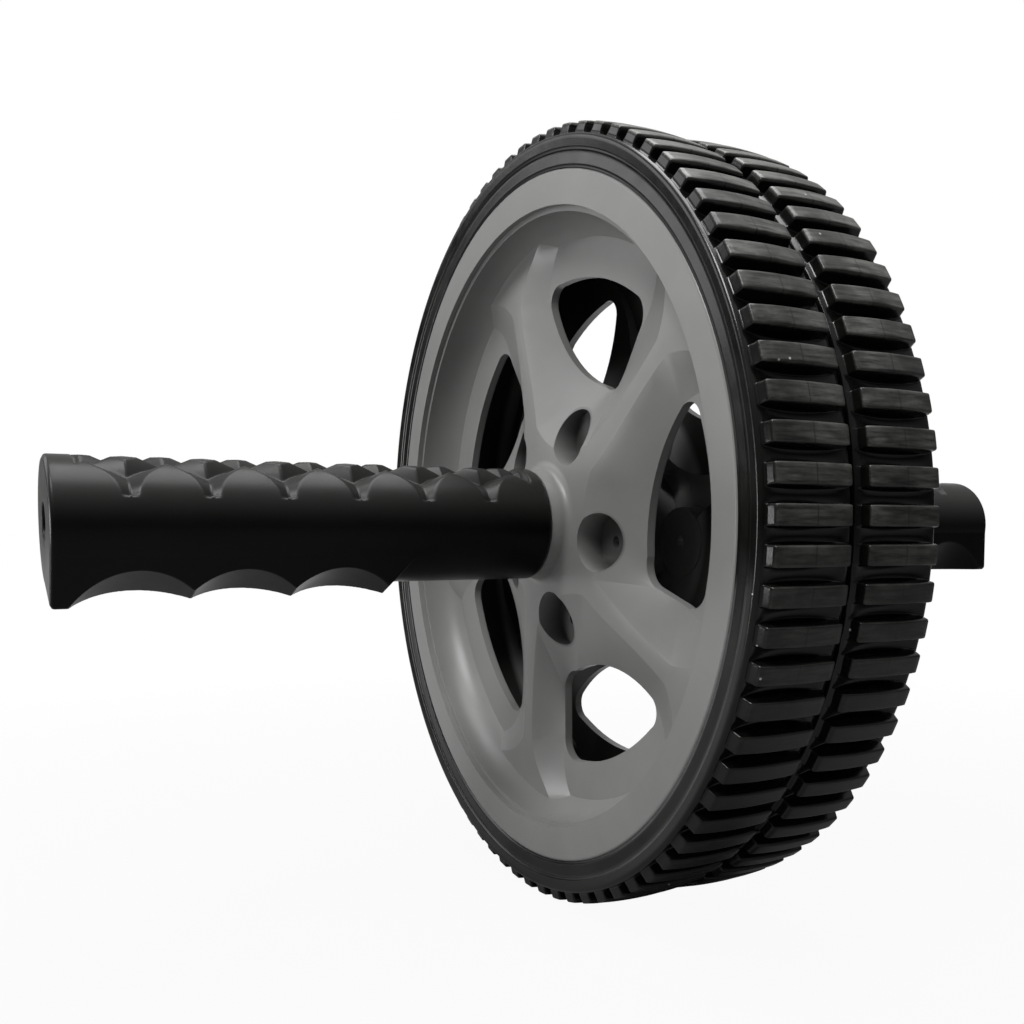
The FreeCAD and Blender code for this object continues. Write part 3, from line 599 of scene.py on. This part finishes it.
def gripPiece(name, side, turn, f):
    around = gripAngles(f)
    along = np.linspace(f["near"], f["end"], f["rows"])
    radius = ridgeRadius(f, around, along) - f["grooveDepth"] * grooveShare(f, around, along)
    # both ends of the skin are rounded over by a quarter circle, r - edge * (1 - sqrt(1 - t^2))
    fromEnd = np.minimum(along - f["near"], f["end"] - along)
    edge = np.clip(1 - fromEnd / f["edge"], 0, 1)
    radius = radius - (f["edge"] * (1 - np.sqrt(1 - edge ** 2)))[:, None]
    columns = len(around)
    skin = np.stack([np.repeat(along[:, None], columns, axis=1), radius], axis=-1)
    # flat end, screw recess, hole, bore and washer seat, as rings of (place along the axle, radius)
    last = skin[-1, :, 1][None]
    share = np.linspace(0, 1, f["capRings"] + 1)[1:, None]
    capRadius = last + (f["recess"] + f["recessEdge"] - last) * share
    cap = np.stack([np.full(capRadius.shape, f["end"]), capRadius], axis=-1)
    end, recess = f["end"], f["recess"]
    floor = end - f["recessDepth"]
    rings = polyline([
        (end - f["recessRound"], recess + f["recessRound"]), (end - f["recessEdge"], recess),
        (floor, recess), (floor, f["hole"]), (f["axleEnd"], f["hole"]), (f["axleEnd"], f["bore"]),
        (f["seat"], f["bore"]), (f["seat"], f["washer"]), (f["near"], f["washer"]),
    ], [1, 4, 3, 2, 2, 6, 3, 2])
    inner = allRound(rings, columns)
    first = skin[0, :, 1][None]
    share = np.linspace(0, 1, f["footRings"] + 2)[1:-1, None]
    footRadius = f["washer"] + (first - f["washer"]) * share
    foot = np.stack([np.full(footRadius.shape, f["near"]), footRadius], axis=-1)
    section = np.vstack([skin, cap, inner, foot])
    theta = around[None] - math.radians(turn)
    place, radius = section[..., 0], section[..., 1]
    grid = np.stack([radius * np.sin(theta), side * place, radius * np.cos(theta)], axis=-1) * mm
    piece = surfacePiece(name, grid, True, True)
    dress(piece, gripBlack)
    smoothShade(piece, skinSmoothing)
    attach(piece, "grips")
    return piece


for side, word in ((-1, "left"), (1, "right")):
    grip = gripPiece(word + "Grip", side, gripForm["turns"][word], gripForm)
    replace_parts(grip, word + "_handle")
    print(grip.name, len(grip.data.polygons), "faces")


# end screws: a low pan head with a hexagon socket, turned about the axle
screwForm = {
    "head": 3.5, "headHeight": 2.6, "seat": 121.0, "shank": 2.0,
    "tip": 104.3, "tipLength": 0.6, "tipShare": 0.6,
    "socket": 1.45, "socketDepth": 1.6, "socketFloorShare": 0.98, "socketRimShare": 1.3,
    # the socket's edge and the head's crown, as depths below the top and shares of their radius
    "socketEdge": ((0.15, 1), (0.05, 1.06)), "crown": ((0.1, 0.72), (0.5, 0.93), (1.1, 1)),
    "columns": 72, "poleGap": 0.0001,
}


def screwPiece(name, side, f):
    # rings round the axle: the socket is a hexagon, r = socket / cos(angle from the nearest flat's middle),
    # and the head, shank and tip are circles
    around = np.linspace(0, 2 * math.pi, f["columns"], endpoint=False)
    top = f["seat"] + f["headHeight"]
    hexagon = f["socket"] / np.cos((around + math.pi / 6) % (math.pi / 3) - math.pi / 6)
    bottom = top - f["socketDepth"]
    edge = [(top - depth, share) for depth, share in f["socketEdge"]]
    socket = np.array([(bottom, 0), (bottom, f["socketFloorShare"]), *edge])
    along = np.repeat(socket[:, :1], f["columns"], axis=1)
    socketRings = np.stack([along, socket[:, 1:] * hexagon[None]], axis=-1)
    crown = [(top - depth, f["head"] * share) for depth, share in f["crown"]]
    outside = polyline([
        (top, f["socket"] * f["socketRimShare"]), *crown, (f["seat"], f["head"]), (f["seat"], f["shank"]),
        (f["tip"] + f["tipLength"], f["shank"]), (f["tip"], f["shank"] * f["tipShare"]), (f["tip"], 0),
    ], [3, 3, 3, 3, 3, 6, 2, 2])
    section = np.vstack([socketRings, allRound(outside, f["columns"])])
    place, radius = section[..., 0], section[..., 1]
    grid = np.stack([radius * np.cos(around), side * place, radius * np.sin(around)], axis=-1) * mm
    piece = surfacePiece(name, grid, False, True)
    closePoles(piece, f["poleGap"] * mm)
    dress(piece, screwZinc)
    smoothShade(piece, nodeSmoothing)
    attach(piece, "grips")
    return piece


for side, word in ((-1, "left"), (1, "right")):
    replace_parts(screwPiece(word + "Screw", side, screwForm), "handle_screws")
print("screws made")


# floor, light and camera
backdropDirection = (-0.864, 0.504, 0)  # the way the camera looks, kept level
stageForm = {
    "floor": -90.0, "half": 6000.0, "pale": 0.22, "rough": 0.9,
    "glow": 0.945, "fadeNear": 160, "fadeFar": 450, "backdropEdge": 0.5, "backdropFull": 0.85,
}
corner = stageForm["half"] * mm
ground = np.array([[(-corner, -corner), (-corner, corner)], [(corner, -corner), (corner, corner)]])
floorLevel = np.full((2, 2, 1), stageForm["floor"] * mm)
floor = surfacePiece("floor", np.concatenate([ground, floorLevel], axis=2), False, False)


def seenRay(tree, glossShare):
    # 1 for what the camera sees itself or through glass, and a share of it for what shows in gloss
    path = tree.nodes.new("ShaderNodeLightPath")
    seen = mathsOf(tree, "MAXIMUM", path.outputs["Is Camera Ray"], path.outputs["Is Transmission Ray"])
    return mathsOf(tree, "MAXIMUM", seen, mathsOf(tree, "MULTIPLY", path.outputs["Is Glossy Ray"], glossShare))


def towards(tree, vector, form):
    # how far a place or a direction lies towards the backdrop, from 0 at its edge to 1
    facing = tree.nodes.new("ShaderNodeVectorMath")
    facing.operation = "DOT_PRODUCT"
    facing.inputs[1].default_value = backdropDirection
    tree.links.new(vector, facing.inputs[0])
    return spread(tree, facing.outputs["Value"], form["backdropEdge"], form["backdropFull"], 0, 1)


floorMaterial, tree, shader, place = newMaterial("paleFloor")
shader.inputs["Base Color"].default_value = (stageForm["pale"],) * 3 + (1,)
shader.inputs["Roughness"].default_value = stageForm["rough"]
glow = tree.nodes.new("ShaderNodeEmission")
distance = tree.nodes.new("ShaderNodeVectorMath")
distance.operation = "LENGTH"
tree.links.new(place, distance.inputs[0])
away = distance.outputs["Value"]
clear = spread(tree, away, stageForm["fadeNear"] * mm, stageForm["fadeFar"] * mm, stageForm["glow"], 1)
blend = tree.nodes.new("ShaderNodeMixShader")
direction = tree.nodes.new("ShaderNodeVectorMath")
direction.operation = "NORMALIZE"
tree.links.new(place, direction.inputs[0])
whiteShare = seenRay(tree, towards(tree, direction.outputs[0], stageForm))
tree.links.new(productOf(tree, whiteShare, clear), blend.inputs[0])
tree.links.new(shader.outputs[0], blend.inputs[1])
tree.links.new(glow.outputs[0], blend.inputs[2])
tree.links.new(blend.outputs[0], tree.nodes["Material Output"].inputs["Surface"])
dress(floor, floorMaterial)

# the room: pale above, dark towards the horizon, with a white backdrop that stands in one direction
worldForm = {"low": 0.014, "high": 0.53, "dark": 0.05, "pale": 0.8, "backdropEdge": 0.7, "backdropFull": 0.95}
world = bpy.data.worlds.new("studio")
scene.world = world
world.use_nodes = True
tree = world.node_tree
background = tree.nodes["Background"]
background.inputs["Color"].default_value = (1, 1, 1, 1)
coords = tree.nodes.new("ShaderNodeTexCoord")
look = coords.outputs["Generated"]
height = partsOf(tree, look)["Z"]
room = spread(tree, height, worldForm["dark"], worldForm["pale"], worldForm["low"], worldForm["high"])
backdrop = towards(tree, look, worldForm)
tree.links.new(mathsOf(tree, "MAXIMUM", room, seenRay(tree, backdrop)), background.inputs["Strength"])

lampForms = {
    "key": {"place": (160, -330, 430), "size": (160, 160), "power": 1.74},
    "overhead": {"place": (0, 0, 700), "size": (500, 500), "power": 4.9},
    "leftFront": {"place": (-500, -500, 350), "size": (400, 400), "power": 0.95},
    "lowFront": {"place": (-350, -650, 0), "size": (300, 120), "power": 1.35},
}
for name, lamp in lampForms.items():
    light = bpy.data.lights.new(name, "AREA")
    light.shape = "RECTANGLE"
    light.size, light.size_y = [v * mm for v in lamp["size"]]
    light.energy = lamp["power"]
    holder = bpy.data.objects.new(name, light)
    scene.collection.objects.link(holder)
    holder.location = [v * mm for v in lamp["place"]]
    holder.rotation_euler = (-holder.location).to_track_quat("-Z", "Y").to_euler()

# the focal length, the centre and the picture's width are in pixels
cameraForm = {
    "focal": 1101.394, "centre": (579.906, 623.477), "picture": 1024, "sensor": 36, "nearest": 10,
    "place": (234.89, -143.38, -2.30), "yaw": 59.75, "pitch": 4.66,
}
imageSize = cameraForm["picture"]
camera = bpy.data.cameras.new("photoCamera")
camera.sensor_width = cameraForm["sensor"]
camera.lens = cameraForm["focal"] / imageSize * camera.sensor_width
camera.shift_x = (imageSize / 2 - cameraForm["centre"][0]) / imageSize
camera.shift_y = (cameraForm["centre"][1] - imageSize / 2) / imageSize
camera.clip_start = cameraForm["nearest"] * mm
viewer = bpy.data.objects.new("photoCamera", camera)
scene.collection.objects.link(viewer)
viewer.location = [v * mm for v in cameraForm["place"]]
viewer.rotation_euler = (math.radians(90 - cameraForm["pitch"]), 0, math.radians(cameraForm["yaw"]))
scene.camera = viewer
print("stage, lamps and camera made")
